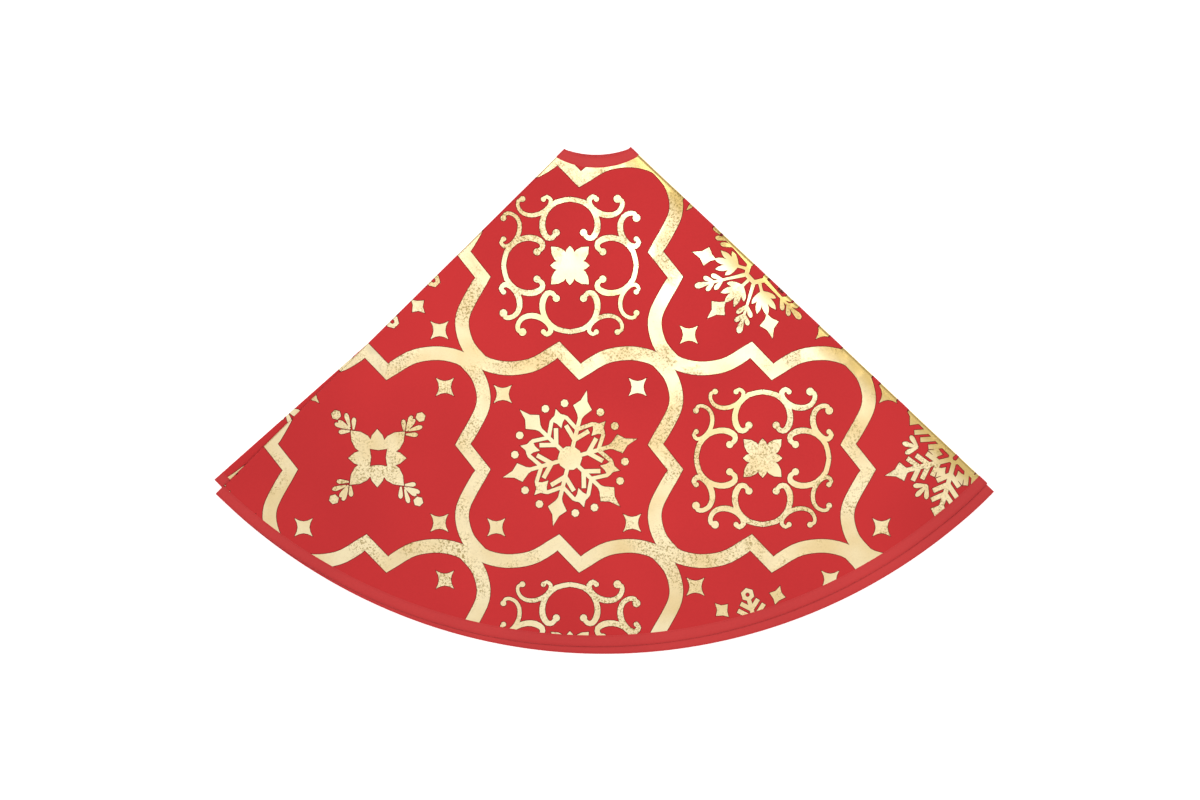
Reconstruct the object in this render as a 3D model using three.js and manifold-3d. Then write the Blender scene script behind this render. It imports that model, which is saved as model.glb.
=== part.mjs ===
// A round tree skirt of lined cloth with bound edges, folded twice into a four-layer quarter.
// Millimetres, +Z up. The stack lies flat, its neck points to +Y and its hem curves along -Y.
// Layers are counted from the top. Layers 1 and 4 meet at the outer right fold, layers 2 and 3
// at the inner right fold, layers 1 and 2 at the left fold. The slit runs between 3 and 4.
import * as THREE from 'three';
import * as BufferGeometryUtils from 'three/addons/utils/BufferGeometryUtils.js';
import Module from 'manifold-3d';

const wasm = await Module();
wasm.setup();

// Driving dimensions.
const skirtRadius = 610;        // fold point to hem, along a fold
const hemArcRadius = skirtRadius * 1.03;   // the hem between two folds runs a little flatter
const neckRadius = 50;          // fold point to neck, along a fold
const neckArcDepth = 8.5;       // how far the neck edge dips between two folds
const wedgeAngle = 92;          // degrees between the two fold lines
const faceThickness = 0.5;      // printed cloth
const liningThickness = 0.3;    // plain backing
const tapeThickness = 0.3;      // one ply of the binding tape
const hemTapeWidth = 13;
const neckTapeWidth = 13;
const slitHemWidth = 10;        // turned edge along the slit
const hemSlip = 12;             // how far the inner layers slip out past the outer ones
const slitHemShortfall = 10;    // how much less the slit side of layer 3 reaches out
const frontSlitFlare = 3.1;       // degrees that the slit edge of layer 3 turns past the left fold
const backSlitFlare = -1.2;      // degrees; the slit edge of layer 4 stays under the stack
const slitEdgeInset = 18;         // how far inside the left fold that slit edge starts
const padLength = 40;           // hook and loop pads, along the slit
const padWidth = 20;
const padThickness = 0.25;
const padCount = 3;
const labelLength = 45;
const labelWidth = 25;
const labelThickness = 0.15;
const plyClearance = 0.05;      // between plies sewn flat together
const layerGap = 0.3;           // between two folded layers
const seatGap = 0.3;            // between pieces that meet edge to edge
const hemSteps = 28;
const neckSteps = 10;
const turnSteps = 8;

const degrees = Math.PI / 180;
const liningStart = tapeThickness + plyClearance;
const faceStart = liningStart + liningThickness + plyClearance;
const layerHeight = faceStart + faceThickness + plyClearance + tapeThickness;
const layerPitch = layerHeight + layerGap;
const foldHeight = 2 * layerPitch - layerGap / 2;   // middle of the stack

const colours = {
  face: { color: 0xc3262f, roughness: 0.7, metalness: 0 },
  lining: { color: 0xa81f28, roughness: 0.85, metalness: 0 },
  tape: { color: 0xd62a33, roughness: 0.55, metalness: 0 },
  pad: { color: 0x8e1a22, roughness: 0.95, metalness: 0 },
  label: { color: 0xf2efe8, roughness: 0.6, metalness: 0 },
};

const skirt = new THREE.Group();

// ---- Plan geometry ----

/** An edge line in plan: a start point and a unit direction that runs out towards the hem. */
function edgeLine(angle, inset = 0) {
  const direction = new THREE.Vector2(Math.sin(angle), -Math.cos(angle));
  const across = new THREE.Vector2(direction.y, -direction.x).multiplyScalar(Math.sign(angle));
  return { start: across.multiplyScalar(inset), direction };
}

/** The point at a distance along an edge line. */
function pointOn(line, distance) {
  return line.start.clone().addScaledVector(line.direction, distance);
}

/** The centre of the circle of a radius through two points, on the neck side of both. */
function arcCentre(left, right, radius) {
  const middle = left.clone().add(right).multiplyScalar(0.5);
  const chord = right.clone().sub(left);
  const rise = Math.sqrt(radius ** 2 - chord.lengthSq() / 4);
  return middle.add(new THREE.Vector2(-chord.y, chord.x).normalize().multiplyScalar(rise));
}

/** An edge line moved sideways into the cloth; side is 1 on the left edge and -1 on the right. */
function insetLine(line, distance, side) {
  const across = new THREE.Vector2(-line.direction.y, line.direction.x);
  return { start: line.start.clone().addScaledVector(across, side * distance), direction: line.direction };
}

/** Where an edge line leaves a circle, on the hem side. */
function crossing(line, centre, radius) {
  const offset = line.start.clone().sub(centre);
  const along = offset.dot(line.direction);
  return pointOn(line, Math.sqrt(along ** 2 - offset.lengthSq() + radius ** 2) - along);
}

/** Points on an arc about a centre, from one point to another. */
function arcPoints(centre, from, to, steps) {
  const radius = from.distanceTo(centre);
  const first = Math.atan2(from.y - centre.y, from.x - centre.x);
  const last = Math.atan2(to.y - centre.y, to.x - centre.x);
  const points = [];
  for (let step = 0; step <= steps; step++) {
    const angle = first + (last - first) * step / steps;
    points.push(new THREE.Vector2(centre.x + radius * Math.cos(angle), centre.y + radius * Math.sin(angle)));
  }
  return points;
}

/** A band across a layer, between two arcs and its two edge lines. */
function bandShape(layer, outer, inner, sideInset) {
  const left = insetLine(layer.left, sideInset, 1);
  const right = insetLine(layer.right, sideInset, -1);
  const outerArc = arcPoints(outer.centre, crossing(left, outer.centre, outer.radius),
    crossing(right, outer.centre, outer.radius), outer.steps);
  const innerArc = arcPoints(inner.centre, crossing(right, inner.centre, inner.radius),
    crossing(left, inner.centre, inner.radius), inner.steps);
  return new THREE.Shape([...outerArc, ...innerArc]);
}

/** The hem arc of a layer, moved in by a distance. */
function hemArc(layer, inset) {
  return { centre: layer.hemCentre, radius: hemArcRadius - inset, steps: hemSteps };
}

/** The neck arc of a layer, moved out by a distance. */
function neckArc(layer, inset) {
  return { centre: layer.neckCentre, radius: neckArcRadius + inset, steps: neckSteps };
}

// ---- Solids ----

/** A plate from a plan shape, between two heights. */
function plate(shape, low, high) {
  const options = { depth: high - low, bevelEnabled: false, curveSegments: 1 };
  const geometry = new THREE.ExtrudeGeometry(shape, options);
  return geometry.translate(0, 0, low);
}

/** A closed mesh as a solid that can be cut. */
function solidOf(geometry) {
  const bare = geometry.index ? geometry.toNonIndexed() : geometry.clone();
  bare.deleteAttribute('normal');
  bare.deleteAttribute('uv');
  const merged = BufferGeometryUtils.mergeVertices(bare, 1e-4);
  return new wasm.Manifold(new wasm.Mesh({
    numProp: 3,
    vertProperties: new Float32Array(merged.attributes.position.array),
    triVerts: new Uint32Array(merged.index.array),
  }));
}

/** One geometry with another cut out of it. */
function cut(body, tool) {
  const mesh = solidOf(body).subtract(solidOf(tool)).getMesh();
  const geometry = new THREE.BufferGeometry();
  geometry.setAttribute('position', new THREE.BufferAttribute(new Float32Array(mesh.vertProperties), 3));
  geometry.setIndex(new THREE.BufferAttribute(new Uint32Array(mesh.triVerts), 1));
  return geometry;
}

/** Adds a named piece to the skirt. */
function addPiece(name, geometry, look) {
  const piece = new THREE.Mesh(geometry, new THREE.MeshStandardMaterial(colours[look]));
  piece.name = name;
  skirt.add(piece);
}

// ---- Layers ----

const leftFold = edgeLine(-wedgeAngle / 2 * degrees);
const rightFold = edgeLine(wedgeAngle / 2 * degrees);
const frontSlit = edgeLine((-wedgeAngle / 2 - frontSlitFlare) * degrees, slitEdgeInset);
const backSlit = edgeLine((-wedgeAngle / 2 - backSlitFlare) * degrees, 0);
const neckHalfChord = neckRadius * Math.sin(wedgeAngle / 2 * degrees);
const neckArcRadius = (neckHalfChord ** 2 + neckArcDepth ** 2) / (2 * neckArcDepth);

/** A layer, counted from the top, with its edge lines, arcs and the heights of its plies. */
function makeLayer(number, faceUp, left, leftHem, rightHem) {
  const base = (4 - number) * layerPitch;
  const height = (start, thickness) => (faceUp
    ? [base + start, base + start + thickness]
    : [base + layerHeight - start - thickness, base + layerHeight - start]);
  return {
    number,
    left,
    right: rightFold,
    base,
    hemCentre: arcCentre(pointOn(left, leftHem), pointOn(rightFold, rightHem), hemArcRadius),
    neckCentre: arcCentre(pointOn(left, neckRadius), pointOn(rightFold, neckRadius), neckArcRadius),
    lining: height(liningStart, liningThickness),
    face: height(faceStart, faceThickness),
    backTape: height(0, tapeThickness),
    height,
  };
}

const layers = [
  makeLayer(1, true, leftFold, skirtRadius, skirtRadius),
  makeLayer(2, false, leftFold, skirtRadius, skirtRadius + hemSlip),
  makeLayer(3, true, frontSlit, skirtRadius - slitHemShortfall, skirtRadius + hemSlip),
  makeLayer(4, false, backSlit, skirtRadius - hemSlip / 2, skirtRadius),
];

/** The printed cloth or the lining of one layer, inside the fold of both tapes. */
function clothPlate(layer, [low, high]) {
  const inset = tapeThickness + seatGap;
  return plate(bandShape(layer, hemArc(layer, inset), neckArc(layer, inset), seatGap), low, high);
}

/** The binding tape folded over the hem or the neck of one layer. */
function bindingTape(layer, arc, width, inward) {
  const solid = plate(bandShape(layer, ...inward(arc(layer, 0), arc(layer, width)), seatGap),
    layer.base, layer.base + layerHeight);
  const inside = inward(arc(layer, tapeThickness), arc(layer, width + seatGap));
  const channel = plate(bandShape(layer, ...inside, -seatGap),
    layer.base + tapeThickness, layer.base + layerHeight - tapeThickness);
  return cut(solid, channel);
}

const hemOrder = (edge, inside) => [edge, inside];
const neckOrder = (edge, inside) => [inside, edge];

for (const layer of layers) {
  addPiece(`face_cloth_layer_${layer.number}`, clothPlate(layer, layer.face), 'face');
  addPiece(`lining_layer_${layer.number}`, clothPlate(layer, layer.lining), 'lining');
  addPiece(`hem_binding_layer_${layer.number}`, bindingTape(layer, hemArc, hemTapeWidth, hemOrder), 'tape');
  const neckTape = bindingTape(layer, neckArc, neckTapeWidth, neckOrder);
  addPiece(`neck_binding_layer_${layer.number}`, neckTape, 'tape');
}

// ---- Folds ----

/** Half a ring between two radii, as a section across a fold, bulging away from the cloth. */
function halfRing(inner, outer) {
  const points = [];
  for (let step = 0; step <= turnSteps; step++) {
    const angle = (step / turnSteps - 0.5) * Math.PI;
    points.push(new THREE.Vector2(outer * Math.cos(angle), outer * Math.sin(angle)));
  }
  for (let step = turnSteps; step >= 0; step--) {
    const angle = (step / turnSteps - 0.5) * Math.PI;
    points.push(new THREE.Vector2(inner * Math.cos(angle), inner * Math.sin(angle)));
  }
  return new THREE.Shape(points);
}

/** A half ring drawn out along a fold line, from one distance to another. */
function foldStrip(fold, [inner, outer], from, to) {
  const options = { depth: to - from, bevelEnabled: false };
  const geometry = new THREE.ExtrudeGeometry(halfRing(inner, outer), options);
  const direction = fold.line.direction;
  const alongFold = new THREE.Vector3(direction.x, direction.y, 0).multiplyScalar(fold.side);
  const outward = new THREE.Vector3(-direction.y, direction.x, 0).multiplyScalar(fold.side);
  const place = new THREE.Matrix4().makeBasis(outward, new THREE.Vector3(0, 0, 1), alongFold);
  const start = pointOn(fold.line, fold.side > 0 ? from : to);
  place.setPosition(start.x, start.y, fold.height);
  return geometry.applyMatrix4(place);
}

/** The section of a tape folded over an edge: distances along the fold line and radii. */
function tapeSection(edge, inside, [inner, outer]) {
  const wall = edge + Math.sign(inside - edge) * tapeThickness;
  return [[inside, inner], [edge, inner], [edge, outer], [inside, outer], [inside, outer - tapeThickness],
    [wall, outer - tapeThickness], [wall, inner + tapeThickness], [inside, inner + tapeThickness]]
    .map(([distance, radius]) => new THREE.Vector2(distance, radius));
}

/** The tape where it turns round a fold: its section swept through half a turn. */
function tapeTurn(fold, edge, inside) {
  const section = tapeSection(edge, inside, fold.tape);
  if (THREE.ShapeUtils.isClockWise(section)) section.reverse();
  const { direction } = fold.line;
  const outward = new THREE.Vector2(-direction.y, direction.x).multiplyScalar(fold.side);
  const positions = [];
  for (let step = 0; step <= turnSteps; step++) {
    const angle = (step / turnSteps - 0.5) * Math.PI;
    for (const { x: distance, y: radius } of section) {
      const spot = pointOn(fold.line, distance).addScaledVector(outward, radius * Math.cos(angle));
      positions.push(spot.x, spot.y, fold.height + radius * Math.sin(angle));
    }
  }
  const count = section.length;
  const index = [];
  for (let step = 0; step < turnSteps; step++) {
    for (let corner = 0; corner < count; corner++) {
      const [a, b] = [step * count + corner, step * count + (corner + 1) % count];
      index.push(a, b, a + count, b, b + count, a + count);
    }
  }
  const last = turnSteps * count;
  for (const [a, b, c] of THREE.ShapeUtils.triangulateShape(section, [])) {
    index.push(a, c, b, last + a, last + b, last + c);
  }
  if (fold.side < 0) index.reverse();
  const geometry = new THREE.BufferGeometry();
  geometry.setAttribute('position', new THREE.BufferAttribute(new Float32Array(positions), 3));
  geometry.setIndex(index);
  return geometry;
}

/** Radii of one ply at a fold, from its heights in the layer above the fold's middle. */
function foldRadii([low, high], middle) {
  return [low - middle, high - middle];
}

const leftFoldHeight = foldHeight + layerPitch;

/** A fold: where it lies, which side it faces and the radii of its plies. */
function makeFold(name, line, side, height, layer, hemDistance) {
  return {
    name,
    line,
    side,
    height,
    hemDistance,
    face: foldRadii(layer.face, height),
    lining: foldRadii(layer.lining, height),
    tape: [layer.base - height, layer.base + layerHeight - height],
  };
}

const folds = [
  makeFold('outer_right_fold', rightFold, 1, foldHeight, layers[0], skirtRadius),
  makeFold('inner_right_fold', rightFold, 1, foldHeight, layers[1], skirtRadius + hemSlip),
  makeFold('left_fold', leftFold, -1, leftFoldHeight, layers[0], skirtRadius),
];

for (const fold of folds) {
  const clothStart = neckRadius + tapeThickness + seatGap;
  const clothEnd = fold.hemDistance - tapeThickness - seatGap;
  addPiece(`${fold.name}_face`, foldStrip(fold, fold.face, clothStart, clothEnd), 'face');
  addPiece(`${fold.name}_lining`, foldStrip(fold, fold.lining, clothStart, clothEnd), 'lining');
  const hemTurn = tapeTurn(fold, fold.hemDistance, fold.hemDistance - hemTapeWidth);
  addPiece(`${fold.name}_hem_turn`, hemTurn, 'tape');
  addPiece(`${fold.name}_neck_turn`, tapeTurn(fold, neckRadius, neckRadius + neckTapeWidth), 'tape');
}

// ---- Slit edges, closure pads and label ----

/** A rectangle that lies along a layer's slit edge. */
function slitRectangle(layer, near, far, from, to) {
  const inner = insetLine(layer.left, far, 1);
  const outer = insetLine(layer.left, near, 1);
  const corners = [pointOn(outer, from), pointOn(outer, to), pointOn(inner, to), pointOn(inner, from)];
  return new THREE.Shape(corners);
}

const bandClearance = hemTapeWidth + slitHemShortfall + 2 * seatGap;
const slitStart = neckRadius + neckTapeWidth + slitHemWidth;
const slitEnd = skirtRadius - bandClearance - slitHemWidth;
const slitNear = 2 * seatGap;
const padNear = slitHemWidth + 2 * seatGap;

for (const layer of [layers[2], layers[3]]) {
  const shape = slitRectangle(layer, slitNear, slitHemWidth, slitStart, slitEnd);
  addPiece(`slit_hem_layer_${layer.number}`, plate(shape, ...layer.backTape), 'face');
}

/** The heights of a thin piece sewn on the wrong side or the printed side of a layer. */
function sewnHeights(layer, thickness, onFace) {
  const start = onFace ? layerHeight - tapeThickness : tapeThickness - thickness;
  return layer.height(start, thickness);
}

for (let pair = 1; pair <= padCount; pair++) {
  const middle = slitStart + (slitEnd - slitStart) * (pair - 0.5) / padCount;
  const [from, to] = [middle - padLength / 2, middle + padLength / 2];
  const hookShape = slitRectangle(layers[2], padNear, padNear + padWidth, from, to);
  const loopShape = slitRectangle(layers[3], padNear, padNear + padWidth, from, to);
  addPiece(`hook_pad_${pair}`, plate(hookShape, ...sewnHeights(layers[2], padThickness, false)), 'pad');
  addPiece(`loop_pad_${pair}`, plate(loopShape, ...sewnHeights(layers[3], padThickness, true)), 'pad');
}

const labelEnd = slitEnd - seatGap;
const labelShape = slitRectangle(layers[3], padNear, padNear + labelWidth, labelEnd - labelLength, labelEnd);
addPiece('care_label', plate(labelShape, ...sewnHeights(layers[3], labelThickness, false)), 'label');

// The origin is the middle of the skirt's underside.
const bounds = new THREE.Box3().setFromObject(skirt, true);
const middle = bounds.getCenter(new THREE.Vector3());
skirt.position.set(-middle.x, -middle.y, -bounds.min.z);

export default skirt;
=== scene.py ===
"""A folded round tree skirt: four quarter layers of foil-printed red cloth with bound edges.

Metres, +Z up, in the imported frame. Print shapes are worked out in print units and cut into the cloth mesh.
"""

import logging
import math
from dataclasses import dataclass, field
from enum import Enum

import bpy
import numpy as np
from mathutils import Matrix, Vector
from mathutils.geometry import delaunay_2d_cdt

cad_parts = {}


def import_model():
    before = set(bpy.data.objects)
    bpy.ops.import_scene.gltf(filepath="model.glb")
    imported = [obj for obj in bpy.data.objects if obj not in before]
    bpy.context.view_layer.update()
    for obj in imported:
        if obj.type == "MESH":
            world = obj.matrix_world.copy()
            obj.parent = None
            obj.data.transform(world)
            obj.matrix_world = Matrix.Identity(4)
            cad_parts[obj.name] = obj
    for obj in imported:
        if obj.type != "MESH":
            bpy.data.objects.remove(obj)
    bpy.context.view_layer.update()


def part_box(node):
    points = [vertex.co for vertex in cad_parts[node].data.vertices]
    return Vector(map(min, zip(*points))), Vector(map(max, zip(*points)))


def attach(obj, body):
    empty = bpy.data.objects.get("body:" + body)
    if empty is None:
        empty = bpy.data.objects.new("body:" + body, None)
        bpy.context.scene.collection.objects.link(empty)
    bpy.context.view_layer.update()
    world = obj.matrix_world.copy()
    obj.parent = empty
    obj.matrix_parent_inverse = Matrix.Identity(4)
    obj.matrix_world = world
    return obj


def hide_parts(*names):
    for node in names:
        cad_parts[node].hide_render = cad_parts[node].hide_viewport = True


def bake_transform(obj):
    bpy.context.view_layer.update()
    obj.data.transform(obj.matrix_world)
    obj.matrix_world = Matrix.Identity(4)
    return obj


log = logging.getLogger("tree_skirt")

MM = 0.001
PRINT_UNIT = 1.14285  # millimetres in one print unit
PRINT_TURN = math.radians(0.688)  # how far the print is turned in plan
PRINT_ORIGIN = (-3.60, 0.495)  # plan place of the print's origin, millimetres
PRINT_WIDTH = 1200  # print units across the camera's view
PRINT_EDGE = 0.75  # width of the dark line round the foil, millimetres
PITCH = 192.2  # print units between repeats
FIRST_CELL = (-30.0, -58.0)  # centre of the first cell, print units
FOLD_GAP = 0.02  # how far a layer's plies end before the right fold, millimetres
GRID_ROW = 0.866  # distance between the rows of a grid, in spacings
GRID_CLEAR = 0.22  # how far a grid stays away from outlines, in spacings

Points = np.ndarray
Spot = tuple[float, float]
Heights = tuple[float, float]
Tone = tuple[float, float, float]
Flat = tuple[Points, Points, Points]


class Body(Enum):
    """The two halves that the right fold joins."""

    LOWER = "lower_half"
    UPPER = "upper_half"


class Finish(Enum):
    """Indices of the finishes on the printed cloth."""

    CLOTH = 0
    FOIL = 1
    INK = 2


# ---- Outlines ----


def rotated(points: Points, degrees: float) -> Points:
    """Points turned about the origin by an angle in degrees."""
    angle = math.radians(degrees)
    turn = np.array([[math.cos(angle), math.sin(angle)], [-math.sin(angle), math.cos(angle)]])
    return np.asarray(points, float) @ turn


def mirrored(points: Points) -> Points:
    """Points mirrored across the upright axis."""
    return np.asarray(points, float) * (-1, 1)


def polar(radius: float, degrees: float) -> Spot:
    """A point from its distance and its angle in degrees."""
    return radius * math.cos(math.radians(degrees)), radius * math.sin(math.radians(degrees))


def shoot(base: Spot, reach: float, degrees: float) -> tuple[Spot, Spot]:
    """A base and the tip that lies a reach away from it at an angle."""
    return base, tuple(np.array(base) + polar(reach, degrees))


def smooth(points: Points, steps: int = 3) -> Points:
    """A Catmull-Rom curve through points.

    Args:
        points: The points that it passes through.
        steps: Steps between two points.

    Returns:
        The points of the curve.
    """
    p = np.asarray(points, float)
    ext = np.vstack([2 * p[0] - p[1], p, 2 * p[-1] - p[-2]])
    out = []
    for i in range(1, len(ext) - 2):
        a, b, c, d = ext[i - 1:i + 3]
        for t in np.linspace(0, 1, steps, endpoint=False):
            out.append(0.5 * (2 * b + (c - a) * t + (2 * a - 5 * b + 4 * c - d) * t * t
                              + (3 * b - a - 3 * c + d) * t ** 3))
    out.append(p[-1])
    return np.array(out)


def ribbon(points: Points, widths: float | Points) -> Points:
    """The outline of a band of varying width along a line, with mitred corners.

    Args:
        points: The middle line.
        widths: One width, or a width at each point.

    Returns:
        The outline.
    """
    p = np.asarray(points, float)
    half = np.broadcast_to(np.asarray(widths, float), (len(p),)) / 2
    step = np.diff(p, axis=0)
    step /= np.linalg.norm(step, axis=1, keepdims=True)
    before, after = np.vstack([step[:1], step]), np.vstack([step, step[-1:]])
    along = before + after
    along /= np.linalg.norm(along, axis=1, keepdims=True)
    scale = 1 / np.maximum((along * after).sum(1), 0.45)
    across = np.stack([-along[:, 1], along[:, 0]], 1) * (half * scale)[:, None]
    return np.vstack([p + across, (p - across)[::-1]])


def disc(centre: Spot, radius: float, sides: int = 10, start: float = 0.0) -> Points:
    """A regular outline about a centre."""
    angles = np.radians(start) + np.arange(sides) * math.tau / sides
    return np.stack([centre[0] + radius * np.cos(angles), centre[1] + radius * np.sin(angles)], 1)


def blade(base: Spot, tip: Spot, width: float, shares: tuple[Spot, ...]) -> Points:
    """An outline from a base to a tip; shares pair shares of its length with shares of its half width."""
    base, tip = np.array(base, float), np.array(tip, float)
    along = tip - base
    across = np.array([-along[1], along[0]]) / np.linalg.norm(along) * width / 2
    left = [base + along * s + across * w for s, w in shares]
    right = [base + along * s - across * w for s, w in reversed(shares)]
    return np.array([*left, tip, *right])


def leaf(base: Spot, tip: Spot, width: float, belly: float = 0.5) -> Points:
    """A pointed leaf from a base to a tip, widest at a share of its length."""
    shares = ((0.12, 0.5), (belly * 0.6, 0.9), (belly, 1.0), (belly + (1 - belly) * 0.5, 0.72))
    return np.vstack([base, blade(base, tip, width, shares)])


def drop(base: Spot, tip: Spot, width: float) -> Points:
    """A drop with a thin base and a round tip."""
    return blade(base, tip, width, ((0.0, 0.35), (0.45, 0.8), (0.75, 1.0), (0.93, 0.65)))


def spike(inner: float, wide: float, tip: float, half: float, degrees: float) -> Points:
    """A long diamond with hollow sides that points outwards."""
    near, far, waist = inner + (wide - inner) * 0.52, wide + (tip - wide) * 0.38, half * 0.36
    shape = [(inner, 0), (near, waist), (wide, half), (far, waist),
             (tip, 0), (far, -waist), (wide, -half), (near, -waist)]
    return rotated(shape, degrees)


def concave_star(centre: Spot, reach: float, waist: float = 0.66) -> Points:
    """A square with hollow sides and drawn-out corners."""
    hollow = waist + 0.09
    spread = 0.55 * reach * (hollow + 0.12)
    side = [(-reach, reach), (-spread, hollow * reach), (0.0, waist * reach), (spread, hollow * reach)]
    return np.vstack([rotated(side, -90 * turn) for turn in range(4)]) + centre


# ---- Motifs of the print ----


@dataclass
class Motif:
    """Filled outlines and holes, about a centre, in print units."""

    fills: list[Points] = field(default_factory=list)
    holes: list[Points] = field(default_factory=list)

    def add(self, *outlines: Points) -> None:
        """Adds filled outlines."""
        self.fills.extend(np.asarray(o, float) for o in outlines)

    def hole(self, *outlines: Points) -> None:
        """Adds holes."""
        self.holes.extend(np.asarray(o, float) for o in outlines)


def rosette_scroll() -> Motif:
    """A rosette inside four open arches, with a curled frame at each corner."""
    motif = Motif()
    arch = smooth([(-14.5, 31.5), (-17.5, 27.8), (-22.5, 27.8), (-26.6, 34.0), (-27.5, 43.2),
                   (-23.6, 54.2), (-13.6, 63.2), (0, 66.2)], 2)
    arch_width = np.interp(np.arange(len(arch)), [0, 3, 6, 10, 14], [4.2, 5.0, 6.0, 5.0, 4.6])
    bracket = smooth([(-47.9, 66.2), (-51.5, 64.4), (-52.0, 59.5), (-48.6, 53.6), (-42.0, 50.4),
                      (-33.8, 50.6), (-26.0, 54.0), (-20.2, 60.0), (-19.2, 65.6), (-23.0, 68.6),
                      (-26.6, 66.6)], 2)
    bracket_width = np.interp(np.arange(len(bracket)), [0, 5, 10, 15, 20], [3.2, 3.4, 4.2, 3.8, 3.0])
    for quarter in range(4):
        turn = 90 * quarter
        for side in (np.asarray, mirrored):
            motif.add(rotated(side(ribbon(arch, arch_width)), turn))
            motif.add(rotated(side(disc((-13.6, 32.8), 3.6)), turn))
            heavy = 1.35 if (quarter in (0, 2)) == (side is mirrored) else 1.0
            motif.add(rotated(side(ribbon(bracket, bracket_width * heavy)), turn))
            motif.add(rotated(side(disc((-47.4, 66.4), 2.9 * heavy)), turn))
            motif.add(rotated(side(disc((-26.4, 66.2), 2.6)), turn))
        motif.add(rotated(leaf((0, 2), (0, 19.6), 9.0, 0.6), turn))
        motif.add(leaf((0, 0), polar(26.6, turn + 45), 13.0, 0.58))
    motif.add(disc((0, 0), 8.5, 12))
    return motif


def petal_cross() -> Motif:
    """Four wide and four small petals round a hollow square, with a sprig at each corner."""
    motif = Motif()
    for quarter in range(4):
        turn = 90 * quarter
        motif.add(rotated(leaf((4, 4), (27.5, 26.5), 17.5, 0.52), turn))
        motif.add(rotated(leaf((0, 6), (0, 29), 15.0, 0.45), turn))
        motif.add(rotated(disc((11.5, 0), 6.5, 8), turn))
        motif.add(rotated(disc((43.2, 41.0), 5.0, 6, 15), turn))
        motif.add(rotated(drop((29, 27), (37.5, 39.0), 4.4), turn))
        motif.add(rotated(drop((28, 28), (36.0, 42.0), 0.5), turn))
        for tip, base in (((34.5, 42.5), (29.5, 30.0)), ((45.0, 31.5), (31.0, 27.5)),
                          ((26.0, 38.5), (26.8, 27.5)), ((40.5, 23.2), (28.5, 23.6))):
            motif.add(rotated(drop(base, tip, 4.6), turn))
    motif.hole(concave_star((1.2, 0.6), 8.8, 0.84))
    return motif


def flake_diamonds() -> Motif:
    """A six-armed snowflake with long diamonds, small diamonds and dots."""
    motif = Motif()
    motif.add(disc((0, 0), 12.2, 10))
    for arm in range(6):
        a = 16 + 60 * arm
        motif.add(rotated(ribbon([(8, 0), (41, 0)], 4.0), a), spike(36, 52, 69.5, 9.6, a))
        motif.add(spike(31, 41.5, 51, 8.4, a + 30))
        for side in (1, -1):
            motif.add(ribbon([polar(19, a), polar(33, a + 21 * side)], 4.4))
            motif.add(ribbon([polar(29.5, a), polar(40.5, a + 19 * side), polar(42.5, a + 24 * side)], 3.8))
            motif.add(disc(polar(55, a + 30 + 10.4 * side), 4.0, 7))
    return motif


def flake_leaves() -> Motif:
    """A six-armed snowflake with leafy fans, sprigs and a hollow centre."""
    motif = Motif()
    shift = np.array([-5.4, -6.4])
    fingers = ((0, 25, 6.4), (25, 23, 5.8), (-25, 23, 5.8), (52, 16, 4.8), (-52, 16, 4.8))

    def spot(distance: float, degrees: float) -> Spot:
        """A point round the flake's own centre."""
        return tuple(np.array(polar(distance, degrees)) + shift)

    for arm in range(6):
        a = 43 + 60 * arm
        motif.add(ribbon([spot(11, a - 30), spot(11, a + 30)], 4.4))
        motif.add(ribbon([spot(9, a), spot(17, a), spot(26, a)], [3.6, 2.8, 4.6]))
        for tilt, length, width in fingers:
            motif.add(leaf(*shoot(spot(20, a), length, a + tilt), width, 0.68))
        motif.add(spike(43, 53, 68, 9.6, a) + shift)
        motif.add(ribbon([spot(11, a + 30), spot(30, a + 30), spot(56, a + 30)], [4.0, 2.6, 2.8]))
        motif.add(drop(spot(49, a + 30), spot(64, a + 30), 6.2))
        for side in (1, -1):
            for start, length in ((35, 13.0), (44, 12.0)):
                motif.add(drop(*shoot(spot(start, a + 30), length, a + 30 + 36 * side), 4.8))
    return motif


def flake_rings() -> Motif:
    """A six-armed snowflake with hexagon rings and long stars."""
    motif = Motif()
    motif.add(disc((0, 0), 9, 6))
    for arm in range(6):
        a = -15 + 60 * arm
        motif.add(ribbon([polar(6, a), polar(54, a)], 4.2), disc(polar(58, a), 6.8, 6, a))
        motif.hole(disc(polar(58, a), 2.3, 6, a))
        motif.add(spike(48, 57.5, 67, 8.2, a + 30))
        motif.add(spike(16, 26, 36, 6.4, a + 30))
        for side in (1, -1):
            for start, reach in ((43, 12), (33, 18), (21, 12)):
                motif.add(ribbon(shoot(polar(start, a), reach, a + 48 * side), 4.4))
    return motif


def flake_drops() -> Motif:
    """A six-armed snowflake with thick fishbone arms and triple drops."""
    motif = Motif()
    motif.add(disc((0, 0), 6.6, 12))
    motif.hole(disc((0, 0), 2.6, 8))
    for arm in range(6):
        a = 14 + 60 * arm
        motif.add(rotated(ribbon([(6, 0), (50, 0)], 4.6), a), spike(46, 55, 72, 9.6, a))
        motif.add(spike(13, 20, 28, 6.6, a + 30))
        for side in (1, -1):
            for start, reach in ((17, 15), (27, 16), (37, 15)):
                motif.add(ribbon(shoot(polar(start, a), reach, a + 50 * side), 4.7))
            motif.add(drop(*shoot(polar(39, a + 30), 14, a + 30 + 42 * side), 5.0))
        motif.add(drop(polar(39, a + 30), polar(55, a + 30), 5.0))
    return motif


def corner_stars() -> Motif:
    """Four small hollow-sided stars near a cell's corners."""
    motif = Motif()
    for centre in ((-67, 64), (67.5, 71), (-73.5, -69), (62, -64.5)):
        motif.add(concave_star(centre, 8.9))
    return motif


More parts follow.
